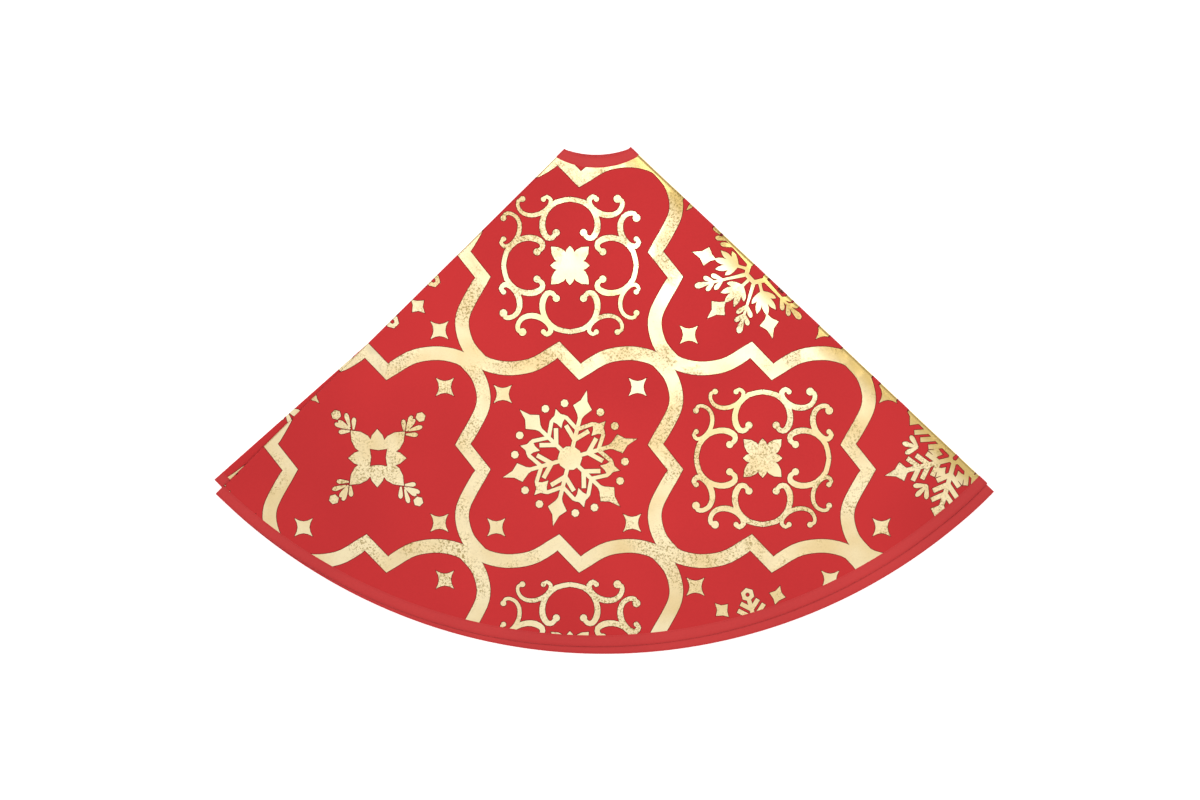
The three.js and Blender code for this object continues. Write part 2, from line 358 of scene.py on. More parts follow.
def lattice_bands() -> Motif:
    """The wavy bands above and to the right of a cell."""
    motif = Motif()
    lobe = np.array([(10, 86), (31.7, 99.4), (49.6, 104.1), (68.2, 104), (87.0, 97.8), (99.6, 83.3),
                     (105.6, 66.1), (105.1, 51.2), (97.8, 35.1), (85.3, 13.7)])
    far = np.array((-1.5, 2.0)) - lobe
    runs = (((0, PITCH), lobe[:6][::-1], far[:6]), ((PITCH, 0), lobe[4:], far[4:][::-1]))
    for shift, near, other in runs:
        first = smooth(near, 3)
        line = np.vstack([first, smooth(other + shift, 3)])
        width = np.full(len(line), 13.4)
        width[len(first) - 1:len(first) + 1] = 12.4
        motif.add(ribbon(line, width))
    return motif


def cell_motif(column: int, row: int) -> list[Motif]:
    """The motifs of one cell; columns count to the right and rows downwards."""
    if (column + row) % 2:
        if column % 4 in (0, 1):
            return [rosette_scroll()]
        return [petal_cross(), corner_stars()]
    flakes = (flake_diamonds, flake_leaves, flake_rings, flake_drops)
    flake = flakes[2 * ((column + row) // 2 % 2) + (column - row) // 2 % 2]
    return [flake(), corner_stars()]


def print_outlines(reach: int = 4) -> tuple[list[Points], list[Points]]:
    """Every outline of the print on the whole round skirt, in plan millimetres.

    Args:
        reach: Cells on each side of the first.

    Returns:
        The filled outlines and the holes.
    """
    fills: list[Points] = []
    holes: list[Points] = []
    for column in range(-reach, reach + 1):
        for row in range(-reach, reach + 6):
            centre = np.array([FIRST_CELL[0] + column * PITCH, FIRST_CELL[1] - row * PITCH])
            for motif in [*cell_motif(column, row), lattice_bands()]:
                fills.extend(to_plan(outline + centre) for outline in motif.fills)
                holes.extend(to_plan(outline + centre) for outline in motif.holes)
    return fills, holes


def to_plan(points: Points) -> Points:
    """Print units to plan millimetres on the top layer."""
    return rotated(np.asarray(points) * PRINT_UNIT, -math.degrees(PRINT_TURN)) + PRINT_ORIGIN


# ---- Plan of the folded skirt ----


@dataclass(frozen=True)
class Line:
    """An edge line in plan, millimetres: a start point and a unit direction towards the hem."""

    start: Points
    direction: Points

    @property
    def across(self) -> Points:
        """The unit direction across the line, a quarter turn counter-clockwise."""
        return np.array([-self.direction[1], self.direction[0]])

    def at(self, distance: float) -> Points:
        """The point at a distance along the line."""
        return self.start + self.direction * distance

    def inset(self, distance: float, side: int) -> "Line":
        """The line moved sideways into the cloth; side is 1 on the left edge and -1 on the right."""
        return Line(self.start + self.across * distance * side, self.direction)

    def reflect(self, points: Points) -> Points:
        """Points mirrored across the line."""
        offset = np.asarray(points, float) - self.start
        along = (offset @ self.direction)[..., None] * self.direction
        return self.start + 2 * along - offset

    def leaves(self, centre: Points, radius: float) -> float:
        """The distance at which the line leaves a circle, on the hem side."""
        offset = self.start - centre
        along = float(offset @ self.direction)
        return math.sqrt(along ** 2 - float(offset @ offset) + radius ** 2) - along


@dataclass(frozen=True)
class SkirtSizes:
    """Sizes of the folded skirt in millimetres and degrees, as the CAD part has them."""

    hem_radius: float = 610.0
    hem_arc: float = 610.0 * 1.03
    neck_radius: float = 50.0
    neck_depth: float = 8.5
    inner_neck_depth: float = 6.4
    wedge: float = 92.0
    face: float = 0.5
    lining: float = 0.3
    tape: float = 0.3
    tape_width: float = 13.0
    slit_hem: float = 10.0
    hem_slip: float = 12.0
    slit_shortfall: float = 10.0
    front_flare: float = 3.1
    back_flare: float = -1.2
    slit_inset: float = 18.0
    ply_gap: float = 0.05
    layer_gap: float = 0.3
    seat: float = 0.3

    @property
    def layer_height(self) -> float:
        """The height of one bound layer."""
        return 2 * self.tape + 3 * self.ply_gap + self.lining + self.face

    @property
    def pitch(self) -> float:
        """The height from one layer to the next."""
        return self.layer_height + self.layer_gap


def edge_line(origin: Points, degrees: float, inset: float = 0.0) -> Line:
    """An edge line from the fold point at an angle from straight down; negative angles are on the left."""
    angle = math.radians(degrees)
    direction = np.array([math.sin(angle), -math.cos(angle)])
    across = np.array([direction[1], -direction[0]]) * math.copysign(1, degrees)
    return Line(origin + across * inset, direction)


def arc_centre(left: Points, right: Points, radius: float) -> Points:
    """The centre of the circle of a radius through two points, on the neck side."""
    chord = right - left
    rise = math.sqrt(radius ** 2 - float(chord @ chord) / 4)
    return (left + right) / 2 + np.array([-chord[1], chord[0]]) / np.linalg.norm(chord) * rise


def smoothstep(values: Points, low: float, high: float) -> Points:
    """0 below low, 1 above high and a soft step between."""
    t = np.clip((np.asarray(values, float) - low) / (high - low), 0, 1)
    return t * t * (3 - 2 * t)


@dataclass
class Layer:
    """One quarter of the skirt as it lies in the stack, counted from the top."""

    number: int
    face_up: bool
    body: Body
    left: Line
    right: Line
    hem_centre: Points
    neck_centre: Points
    neck_arc: float
    base: float
    follow: float
    plan: "SkirtPlan"

    def heights(self, start: float, thickness: float) -> Heights:
        """The heights of a ply that starts some way above the layer's wrong side."""
        size = self.plan.size
        if self.face_up:
            return self.base + start, self.base + start + thickness
        top = self.base + size.layer_height
        return top - start - thickness, top - start

    def fold_in(self, points: Points) -> Points:
        """Places on the unfolded cloth taken to this layer's place in plan."""
        if self.number in (2, 3):
            points = self.plan.left_fold.reflect(points)
        if self.number in (3, 4):
            points = self.plan.right_fold.reflect(points)
        return np.asarray(points, float)

    def outline(self, hem_inset: float, neck_inset: float, side: Spot,
                steps: tuple[int, int] = (150, 14)) -> Points:
        """The layer's outline, counter-clockwise from the left hem corner.

        Args:
            hem_inset: How far the hem edge is moved in.
            neck_inset: How far the neck edge is moved out.
            side: How far the left and the right edge are moved in.
            steps: Steps along the hem and along the neck.

        Returns:
            The outline's points.
        """
        left, right = self.left.inset(side[0], 1), self.right.inset(side[1], -1)
        hem = arc_between(self.hem_centre, left, right, self.plan.size.hem_arc - hem_inset, steps[0])
        neck = arc_between(self.neck_centre, right, left, self.neck_arc + neck_inset, steps[1])
        return np.vstack([hem, neck])

    def lift(self, points: Points) -> Points:
        """How far the cloth stands above its flat height at plan points."""
        return self.plan.swell(points) * self.follow

    def place(self, points: Points, heights: Points | float) -> Points:
        """Plan points and heights as points in space, in metres, with the cloth's soft swells."""
        z = np.broadcast_to(np.asarray(heights, float), (len(points),)) + self.lift(points)
        return np.column_stack([points, z]) * MM


def arc_between(centre: Points, first: Line, last: Line, radius: float, steps: int) -> Points:
    """Points on an arc from where one line leaves it to where another does."""
    ends = [line.at(line.leaves(centre, radius)) - centre for line in (first, last)]
    a, b = (math.atan2(end[1], end[0]) for end in ends)
    angles = np.linspace(a, b, steps + 1)
    return centre + radius * np.column_stack([np.cos(angles), np.sin(angles)])


class SkirtPlan:
    """Where the folds, edges and layers lie, in plan millimetres."""

    def __init__(self, size: SkirtSizes) -> None:
        """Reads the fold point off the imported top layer.

        Args:
            size: The skirt's sizes.
        """
        self.size = size
        low, high = (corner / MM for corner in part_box("face_cloth_layer_1"))
        inset = size.tape + size.seat
        half = size.wedge / 2
        corner = size.hem_radius * np.array([math.sin(math.radians(half)), math.cos(math.radians(half))])
        rise = math.sqrt(size.hem_arc ** 2 - corner[0] ** 2) - corner[1]
        self.origin = np.array([(low.x + high.x) / 2, low.y + size.hem_arc - inset - rise])
        self.left_fold = edge_line(self.origin, -half)
        self.right_fold = edge_line(self.origin, half)
        neck_half = size.neck_radius * math.sin(math.radians(half))
        depths = (size.neck_depth, *[size.inner_neck_depth] * 3)
        necks = [(neck_half ** 2 + depth ** 2) / (2 * depth) for depth in depths]
        front = edge_line(self.origin, -half - size.front_flare, size.slit_inset)
        back = edge_line(self.origin, -half - size.back_flare)
        r = size.hem_radius
        rows = ((1, True, Body.UPPER, self.left_fold, r, r, 1.0),
                (2, False, Body.UPPER, self.left_fold, r, r + size.hem_slip, 0.75),
                (3, True, Body.LOWER, front, r - size.slit_shortfall, r + size.hem_slip, 0.35),
                (4, False, Body.LOWER, back, r - size.hem_slip / 2, r, 0.1))
        self.layers = []
        for (number, up, body, left, left_hem, right_hem, follow), neck in zip(rows, necks):
            hem = arc_centre(left.at(left_hem), self.right_fold.at(right_hem), size.hem_arc)
            top = arc_centre(left.at(size.neck_radius), self.right_fold.at(size.neck_radius), neck)
            base = (len(rows) - number) * size.pitch
            layer = Layer(number, up, body, left, self.right_fold, hem, top, neck, base, follow, self)
            self.layers.append(layer)
        self.fold_height = 2 * size.pitch - size.layer_gap / 2

    def from_fold(self, points: Points, fold: Line, side: int) -> Points:
        """The distance of plan points from a fold, inwards."""
        return (np.asarray(points, float) - fold.start) @ (fold.across * side)

    def swell(self, points: Points) -> Points:
        """The soft swells of folded cloth that lies on a floor, in millimetres, never below 0."""
        p = np.asarray(points, float)
        left = self.from_fold(p, self.left_fold, 1)
        right = self.from_fold(p, self.right_fold, -1)
        x, y = p[:, 0], p[:, 1]
        wave = (np.sin(x / 71 + y / 113 + 0.6) + np.sin(x / 47 - y / 83 + 2.1) + np.sin(y / 59 + x / 190)
                + np.sin((x + 2 * y) / 97 + 4.0))
        calm = smoothstep(left, 0, 45) * smoothstep(right, 0, 60)
        roll = smoothstep(right, 0, 26) * (1 - smoothstep(right, 26, 80))
        return calm * (1.0 + 0.22 * wave) + 2.0 * roll


# ---- Meshes ----


def linked(name: str, data: bpy.types.ID) -> bpy.types.Object:
    """A new object in the scene, at the origin."""
    made = bpy.data.objects.new(name, data)
    bpy.context.scene.collection.objects.link(made)
    return made


def mark_fold_shade(piece: bpy.types.Object, shade_share: Points) -> None:
    """Says how much painted shade darkens the foil at each point of a piece."""
    attribute = piece.data.attributes.new("fold_shade", "FLOAT", "POINT")
    attribute.data.foreach_set("value", shade_share.astype(np.float32))


@dataclass
class Soft:
    """A mesh in the making: points in metres, faces and a finish index for each face."""

    points: list[tuple[float, float, float]] = field(default_factory=list)
    faces: list[tuple[int, ...]] = field(default_factory=list)
    finishes: list[int] = field(default_factory=list)

    def object(self, name: str, materials: list[bpy.types.Material], flat: float = 40.0) -> bpy.types.Object:
        """Makes the object.

        Args:
            name: The piece's name.
            materials: Materials in the order of the finish indices.
            flat: Edges sharper than this many degrees stay sharp.

        Returns:
            The object, at the origin.
        """
        mesh = bpy.data.meshes.new(name)
        mesh.from_pydata(self.points, [], self.faces)
        for material in materials:
            mesh.materials.append(material)
        mesh.polygons.foreach_set("material_index", self.finishes)
        mesh.validate(clean_customdata=False)
        outward(mesh)
        mesh.shade_smooth()
        mesh.set_sharp_from_angle(angle=math.radians(flat))
        return linked(name, mesh)


def outward(mesh: bpy.types.Mesh) -> None:
    """Turns a closed mesh's faces outwards if its volume says that they point inwards."""
    mesh.calc_loop_triangles()
    corner = np.zeros(len(mesh.loop_triangles) * 3, int)
    mesh.loop_triangles.foreach_get("vertices", corner)
    place = np.zeros(len(mesh.vertices) * 3)
    mesh.vertices.foreach_get("co", place)
    a, b, c = (place.reshape(-1, 3)[corner.reshape(-1, 3)[:, i]] for i in range(3))
    if (a * np.cross(b, c)).sum() < 0:
        mesh.flip_normals()


def winding(points: Points, outline: Points) -> Points:
    """How often an outline winds round each point."""
    turns = np.zeros(len(points), int)
    x, y = points[:, 0], points[:, 1]
    for (ax, ay), (bx, by) in zip(outline, np.roll(outline, -1, axis=0)):
        left = (bx - ax) * (y - ay) - (x - ax) * (by - ay)
        turns += ((ay <= y) & (by > y) & (left > 0)).astype(int)
        turns -= ((ay > y) & (by <= y) & (left < 0)).astype(int)
    return turns


def covered(points: Points, outlines: list[Points]) -> Points:
    """Which points lie inside any of the outlines."""
    found = np.zeros(len(points), bool)
    order = np.argsort(points[:, 0])
    ordered = points[order, 0]
    for outline in outlines:
        low, high = outline.min(0), outline.max(0)
        first, last = np.searchsorted(ordered, (low[0], high[0]))
        near = order[first:last]
        near = near[(points[near, 1] >= low[1]) & (points[near, 1] <= high[1]) & ~found[near]]
        if len(near):
            found[near] = winding(points[near], outline) != 0
    return found


def dots_inside(outline: Points, spacing: float) -> Points:
    """A staggered grid of points inside an outline."""
    low, high = outline.min(0), outline.max(0)
    grid = []
    for i, y in enumerate(np.arange(low[1], high[1], spacing * GRID_ROW)):
        row = np.arange(low[0] + spacing / 2 * (i % 2), high[0], spacing)
        grid.append(np.column_stack([row, np.full(len(row), y)]))
    dots = np.vstack(grid)
    return dots[winding(dots, outline) != 0]


def flat_mesh(outline: Points, spacing: float, shapes: tuple[list[Points], ...] = ([], [], [], [])) -> Flat:
    """Triangles that fill an outline and follow the outlines of the print.

    Args:
        outline: The cloth's outline, in plan millimetres.
        spacing: The distance between the free points.
        shapes: The print's filled outlines and holes, then those of the thin dark line round it.

    Returns:
        The points, the triangles and each triangle's finish.
    """
    low, high = outline.min(0) - 1, outline.max(0) + 1
    near = [o for kind in shapes for o in kind if (o.max(0) > low).all() and (o.min(0) < high).all()]
    dots = dots_inside(outline, spacing)
    if near:
        dots = clear_of(dots, np.vstack(near), spacing * GRID_CLEAR)
    points: list[Spot] = []
    edges: list[tuple[int, int]] = []
    for shape in (outline, *near):
        start, count = len(points), len(shape)
        points.extend(map(tuple, shape))
        edges += [(start + i, start + (i + 1) % count) for i in range(count)]
    points.extend(map(tuple, dots))
    made, _, triangles, *_ = delaunay_2d_cdt([Vector(p) for p in points], edges, [], 0, 1e-4, False)
    place = np.array([tuple(p) for p in made])
    triangles = np.array([tuple(t) for t in triangles])
    middle = place[triangles].mean(1)
    inside = winding(middle, outline) != 0
    triangles, middle = triangles[inside], middle[inside]
    finish = np.zeros(len(triangles), int)
    if near:
        fills, holes, ink, clear = (covered(middle, kind) for kind in shapes)
        foil = fills & ~holes
        finish[foil] = Finish.FOIL.value
        finish[ink & ~foil & ~clear] = Finish.INK.value
    used, triangles = np.unique(triangles, return_inverse=True)
    return place[used], triangles.reshape(-1, 3), finish


def clear_of(dots: Points, edge: Points, clearance: float, batch: int = 512) -> Points:
    """The dots that lie further than a clearance from every point of the edges, tested in batches."""
    keep = np.ones(len(dots), bool)
    for start in range(0, len(dots), batch):
        part = dots[start:start + batch]
        low, high = part.min(0) - 3, part.max(0) + 3
        close = edge[((edge > low) & (edge < high)).all(1)]
        if len(close):
            gap = np.abs(part[:, None, :] - close[None, :, :]).max(2).min(1)
            keep[start:start + batch] = gap > clearance
    return dots[keep]


def border_loop(triangles: Points) -> list[tuple[int, int, int]]:
    """Edges with one triangle, each as (first point, second point, triangle)."""
    owner: dict[tuple[int, int], int] = {}
    for index, (a, b, c) in enumerate(triangles):
        for edge in ((a, b), (b, c), (c, a)):
            owner[edge] = index
    return [(a, b, i) for (a, b), i in owner.items() if (b, a) not in owner]


def cloth_sheet(layer: Layer, mesh: Flat, ply: Heights) -> Soft:
    """A sheet with its print on the face side and plain cloth on its back and rim.

    Args:
        layer: The layer that it lies in.
        mesh: Its points, triangles and finishes in plan.
        ply: Its lowest and highest height in the layer.

    Returns:
        The closed sheet.
    """
    place, triangles, finish = mesh
    back, face = ply if layer.face_up else ply[::-1]
    count = len(place)
    rim = [(int(b), int(a), int(a) + count, int(b) + count) for a, b, _ in border_loop(triangles)]
    soft = Soft()
    soft.points = [*map(tuple, layer.place(place, face)), *map(tuple, layer.place(place, back))]
    soft.faces = [tuple(map(int, t)) for t in triangles]
    soft.faces += [tuple(int(i) + count for i in t[::-1]) for t in triangles]
    soft.faces += rim
    soft.finishes = [*map(int, finish), *[0] * (len(triangles) + len(rim))]
    return soft


def sweep(rings: Points) -> Soft:
    """A closed surface through rings of points, rings x points x 3, capped at both ends."""
    count, size = rings.shape[:2]
    last = (count - 1) * size
    faces = []
    for low in range(0, last, size):
        for i in range(size):
            j = (i + 1) % size
            faces.append((low + i, low + j, low + size + j, low + size + i))
    faces.append(tuple(range(size))[::-1])
    faces.append(tuple(range(last, last + size)))
    return Soft([*map(tuple, rings.reshape(-1, 3))], faces, [0] * len(faces))


# ---- Finishes ----


class Nodes:
    """Adds shader nodes to a tree and links them."""

    def __init__(self, tree: bpy.types.NodeTree) -> None:
        """Keeps the tree."""
        self.tree = tree

    def add(self, kind: str, sockets: dict | None = None, **settings: object) -> bpy.types.Node:
        """Adds a node, sets its properties and feeds its inputs."""
        node = self.tree.nodes.new(kind)
        for name, value in settings.items():
            setattr(node, name, value)
        self.feed(node, sockets or {})
        return node

    def feed(self, node: bpy.types.Node, sockets: dict) -> None:
        """Links outputs to a node's inputs, or sets the inputs' values."""
        for name, value in sockets.items():
            if isinstance(value, bpy.types.NodeSocket):
                self.tree.links.new(value, node.inputs[name])
            else:
                node.inputs[name].default_value = value

    def math(self, operation: str, a: object, b: object = 0.0) -> bpy.types.NodeSocket:
        """A Math node's result."""
        return self.add("ShaderNodeMath", {0: a, 1: b}, operation=operation).outputs[0]

    def ramp(self, value: object, low: float, high: float) -> bpy.types.NodeSocket:
        """A value taken from low..high to 0..1."""
        sockets = {"Value": value, "From Min": low, "From Max": high}
        return self.add("ShaderNodeMapRange", sockets, interpolation_type="SMOOTHSTEP").outputs["Result"]

    def mix(self, share: object, a: object, b: object) -> bpy.types.NodeSocket:
        """Two colours mixed."""
        return self.add("ShaderNodeMix", {0: share, 6: a, 7: b}, data_type="RGBA").outputs[2]

    def noise(self, vector: object, scale: float, detail: float = 3.0,
              rough: float = 0.55) -> bpy.types.NodeSocket:
        """A Noise texture's value."""
        sockets = {"Vector": vector, "Scale": scale, "Detail": detail, "Roughness": rough}
        return self.add("ShaderNodeTexNoise", sockets).outputs[0]

    def bump(self, height: object, strength: float, distance: float) -> bpy.types.NodeSocket:
        """A height as a bumped normal."""
        sockets = {"Strength": strength, "Distance": distance, "Height": height}
        return self.add("ShaderNodeBump", sockets).outputs[0]


def group(name: str, inputs: dict[str, tuple[str, object]], outputs: dict[str, str]) -> bpy.types.NodeTree:
    """A shader node group with named inputs and outputs, and its two end nodes."""
    tree = bpy.data.node_groups.new(name, "ShaderNodeTree")
    for label, (kind, value) in inputs.items():
        socket = tree.interface.new_socket(name=label, in_out="INPUT", socket_type=kind)
        if value is not None:
            socket.default_value = value
    for label, kind in outputs.items():
        tree.interface.new_socket(name=label, in_out="OUTPUT", socket_type=kind)
    tree.nodes.new("NodeGroupInput")
    tree.nodes.new("NodeGroupOutput")
    return tree


def ends(tree: bpy.types.NodeTree) -> tuple[bpy.types.Node, bpy.types.Node]:
    """A group's input node and output node."""
    kinds = {node.bl_idname: node for node in tree.nodes}
    return kinds["NodeGroupInput"], kinds["NodeGroupOutput"]


def weave_group() -> bpy.types.NodeTree:
    """A plain weave with slubs and soft tone patches: a height and a shade."""
    tree = group("plain weave", {"Vector": ("NodeSocketVector", None), "Threads": ("NodeSocketFloat", 900.0),
                                 "Slub": ("NodeSocketFloat", 0.4)},
                 {"Height": "NodeSocketFloat", "Shade": "NodeSocketFloat"})
    start, end = ends(tree)
    n = Nodes(tree)
    vector = start.outputs["Vector"]
    x, y = (n.add("ShaderNodeTexWave", {"Vector": vector, "Scale": start.outputs["Threads"]},
                  bands_direction=direction, wave_profile="SIN").outputs["Fac"] for direction in ("X", "Y"))
    slub = n.math("MULTIPLY", n.noise(vector, 260.0, 2.0), start.outputs["Slub"])
    height = n.math("ADD", n.math("MULTIPLY", n.math("ADD", x, y), 0.5), slub)
    patch, fine = n.noise(vector, 4.5, 2.0), n.noise(vector, 420.0, 3.0)
    shade = n.math("ADD", n.math("MULTIPLY", patch, 0.75), n.math("MULTIPLY", fine, 0.25))
    n.feed(end, {"Height": height, "Shade": shade})
    return tree


def crinkle_group() -> bpy.types.NodeTree:
    """Crinkled foil: a height, a mask of the crinkled patches and a mask of fine flecks of painted shade in
    the crinkles.
    """
    tree = group("crinkled foil", {"Vector": ("NodeSocketVector", None), "Scale": ("NodeSocketFloat", 1.0)},
                 {"Height": "NodeSocketFloat", "Patches": "NodeSocketFloat", "Crinkle Shade": "NodeSocketFloat"})
    start, end = ends(tree)
    n = Nodes(tree)
    scaled = n.add("ShaderNodeVectorMath", {0: start.outputs["Vector"], "Scale": start.outputs["Scale"]},
                   operation="SCALE")
    vector = scaled.outputs[0]
    patches = n.ramp(n.noise(vector, 15.0, 4.0, 0.6), 0.46, 0.60)
    cells = n.add("ShaderNodeTexVoronoi", {"Vector": vector, "Scale": 520.0}, feature="F1")
    fine = n.noise(vector, 620.0, 4.0, 0.7)
    height = n.math("ADD", n.math("MULTIPLY", cells.outputs["Distance"], 0.6), fine)
    height = n.math("MULTIPLY", height, n.math("ADD", n.math("MULTIPLY", patches, 0.85), 0.15))
    # Painted shade: fine dark flecks in the crinkled patches stand in for the darker reflections of the
    # crinkles.
    shade_speck = n.ramp(n.noise(vector, 430.0, 3.0, 0.75), 0.50, 0.60)
    crinkle_shade_mask = n.math("MULTIPLY", shade_speck, n.math("ADD", n.math("MULTIPLY", patches, 0.9), 0.08))
    n.feed(end, {"Height": height, "Patches": patches, "Crinkle Shade": crinkle_shade_mask})
    return tree


def shader_of(name: str) -> tuple[bpy.types.Material, Nodes, bpy.types.Node]:
    """A new material, its node tree and its shader."""
    material = bpy.data.materials.new(name)
    material.use_nodes = True
    return material, Nodes(material.node_tree), material.node_tree.nodes["Principled BSDF"]


@dataclass(frozen=True)
class ClothFinish:
    """A woven finish: its two tones, its thread count and its gloss."""

    name: str
    tone: tuple[float, float, float, float]
    shaded: tuple[float, float, float, float]
    threads: float = 900.0
    roughness: float = 0.78
    sheen: float = 0.08
    specular: float = 0.3
    bump: float = 0.35
    distance: float = 0.00012

    def make(self, weave: bpy.types.NodeTree) -> bpy.types.Material:
        """Builds the material.

        Args:
            weave: The weave's node group.

        Returns:
            The material.
        """
        material, n, shader = shader_of(self.name)
        place = n.add("ShaderNodeTexCoord").outputs["Object"]
        woven = n.add("ShaderNodeGroup", node_tree=weave)
        n.feed(woven, {"Vector": place, "Threads": self.threads})
        share = n.ramp(woven.outputs["Shade"], 0.3, 0.7)
        n.feed(shader, {"Base Color": n.mix(share, self.shaded, self.tone), "Roughness": self.roughness,
                        "Sheen Weight": self.sheen, "Specular IOR Level": self.specular,
                        "Normal": n.bump(woven.outputs["Height"], self.bump, self.distance)})
        return material


@dataclass(frozen=True)
class FoilFinish:
    """Printed metallic foil, crinkled in patches, darkened near the folds with painted shade and flecked with
    painted shade in the crinkles.
    """

    name: str = "gold foil print"
    bright: tuple[float, float, float, float] = (0.91, 0.78, 0.50, 1.0)
    deep: tuple[float, float, float, float] = (0.80, 0.61, 0.31, 1.0)
    # Painted shade: the dark tone of the flecks in the crinkles.
    crinkle_shade_tone: tuple[float, float, float, float] = (0.34, 0.23, 0.06, 1.0)
    # Painted shade: the darker tone of the foil where it rolls over the folds.
    fold_shade_tone: tuple[float, float, float, float] = (0.60, 0.42, 0.13, 1.0)

    def make(self, crinkle: bpy.types.NodeTree) -> bpy.types.Material:
        """Builds the material.

        Args:
            crinkle: The crinkle's node group.

        Returns:
            The material.
        """
        material, n, shader = shader_of(self.name)
        place = n.add("ShaderNodeTexCoord").outputs["Object"]
        foil = n.add("ShaderNodeGroup", node_tree=crinkle)
        n.feed(foil, {"Vector": place})
        fold_shade = n.add("ShaderNodeAttribute", attribute_name="fold_shade").outputs["Fac"]
        tone = n.mix(n.ramp(n.noise(place, 11.0, 3.0), 0.35, 0.7), self.bright, self.deep)
        # Painted shade: darker foil near the right fold and round the folds.
        tone = n.mix(fold_shade, tone, self.fold_shade_tone)
        # Painted shade: the crinkles' dark flecks mixed into the foil's tone.
        tone = n.mix(n.math("MULTIPLY", foil.outputs["Crinkle Shade"], 0.85), tone, self.crinkle_shade_tone)
        rough = n.math("ADD", n.math("MULTIPLY", foil.outputs["Patches"], 0.14), 0.30)
        n.feed(shader, {"Base Color": tone, "Metallic": 0.85, "Roughness": rough,
                        "Normal": n.bump(foil.outputs["Height"], 0.6, 0.0004)})
        return material


class Wardrobe:
    """Every finish of the skirt."""

    def __init__(self) -> None:
        """Builds the node groups and the materials."""
        weave = weave_group()

        def woven(name: str, tone: Tone, shaded: Tone, **settings: float) -> bpy.types.Material:
            """A woven material."""
            return ClothFinish(name, (*tone, 1.0), (*shaded, 1.0), **settings).make(weave)

        self.cloth = woven("printed red cloth", (0.55, 0.0248, 0.0266), (0.485, 0.0206, 0.0228))
        self.ink = woven("dark red print edge", (0.17, 0.010, 0.007), (0.14, 0.008, 0.006))
        self.lining = woven("red lining", (0.46, 0.020, 0.028), (0.38, 0.015, 0.02),
                            threads=700, roughness=0.88)
        self.tape = woven("satin binding", (0.56, 0.031, 0.031), (0.48, 0.023, 0.024), threads=1500,
                          roughness=0.5, sheen=0.04, specular=0.35, bump=0.25)
        self.pad = woven("hook and loop", (0.30, 0.012, 0.018), (0.22, 0.008, 0.012), threads=520,
                         roughness=0.95, sheen=0.3, specular=0.2, bump=1.0, distance=0.0005)
        self.label = woven("white label", (0.88, 0.86, 0.82), (0.80, 0.78, 0.74),
                           threads=1100, roughness=0.6)
        self.thread = woven("red thread", (0.60, 0.020, 0.028), (0.48, 0.015, 0.02),
                            threads=2200, roughness=0.6)
        self.foil = FoilFinish().make(crinkle_group())

    def printed(self) -> list[bpy.types.Material]:
        """The materials of the printed cloth, in the order of Finish."""
        return [self.cloth, self.foil, self.ink]


# ---- Sub-assemblies ----


def settle(piece: bpy.types.Object, body: Body, nodes: list[str]) -> None:
    """Sets a piece on its body, hides the CAD nodes that it stands for and logs its faces."""
    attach(piece, body.value)
    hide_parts(*nodes)
    log.info("%s: %d faces on %s", piece.name, len(piece.data.polygons), body.value)


def polygon_signed(outline: Points) -> float:
    """The signed area inside an outline, above 0 if it runs counter-clockwise."""
    x, y = outline[:, 0], outline[:, 1]
    return float((x * np.roll(y, -1) - np.roll(x, -1) * y).sum()) / 2


@dataclass
class QuarterCloth:
    """The printed face cloth and the lining of each layer."""

    plan: SkirtPlan
    wardrobe: Wardrobe
    grid: float = 9.0
    lining_grid: float = 16.0
    edge_inset: float = 0.6
    slit_inset: float = 0.3

    def outline(self, layer: Layer) -> Points:
        """The cut edge of one layer's cloth."""
        slit = self.slit_inset if layer.number > 2 else 0.0
        return layer.outline(self.edge_inset, self.edge_inset, (slit, FOLD_GAP))

    def build(self, *shapes: list[Points]) -> dict[int, Flat]:
        """Makes the face cloths and linings.

        Args:
            *shapes: The four lists of flat_mesh, with their places on the unfolded cloth.

        Returns:
            The printed mesh of each layer, by its number.
        """
        size, meshes = self.plan.size, {}
        start = size.tape + size.ply_gap
        for layer in self.plan.layers:
            outline = self.outline(layer)
            local = tuple([layer.fold_in(shape) for shape in kind] for kind in shapes)
            meshes[layer.number] = flat_mesh(outline, self.grid, local)
            ply = layer.heights(start + size.lining + size.ply_gap, size.face)
            face = cloth_sheet(layer, meshes[layer.number], ply)
            piece = face.object(f"printed_cloth_{layer.number}", self.wardrobe.printed())
            self.paint_fold_shade(piece, layer)
            settle(piece, layer.body, [f"face_cloth_layer_{layer.number}"])
            plain = flat_mesh(outline, self.lining_grid)
            back = cloth_sheet(layer, plain, layer.heights(start, size.lining))
            piece = back.object(f"lining_cloth_{layer.number}", [self.wardrobe.lining])
            settle(piece, layer.body, [f"lining_layer_{layer.number}"])
        return meshes

    def paint_fold_shade(self, piece: bpy.types.Object, layer: Layer) -> None:
        """Paints shade on the foil near the right fold, where the cloth rolls over."""
        place = np.array([v.co[:2] for v in piece.data.vertices]) / MM
        right = self.plan.from_fold(place, self.plan.right_fold, -1)
        shade_share = 1 - smoothstep(right, 3, 24)
        mark_fold_shade(piece, shade_share.astype(np.float32) * (0.9 if layer.number == 1 else 0.35))


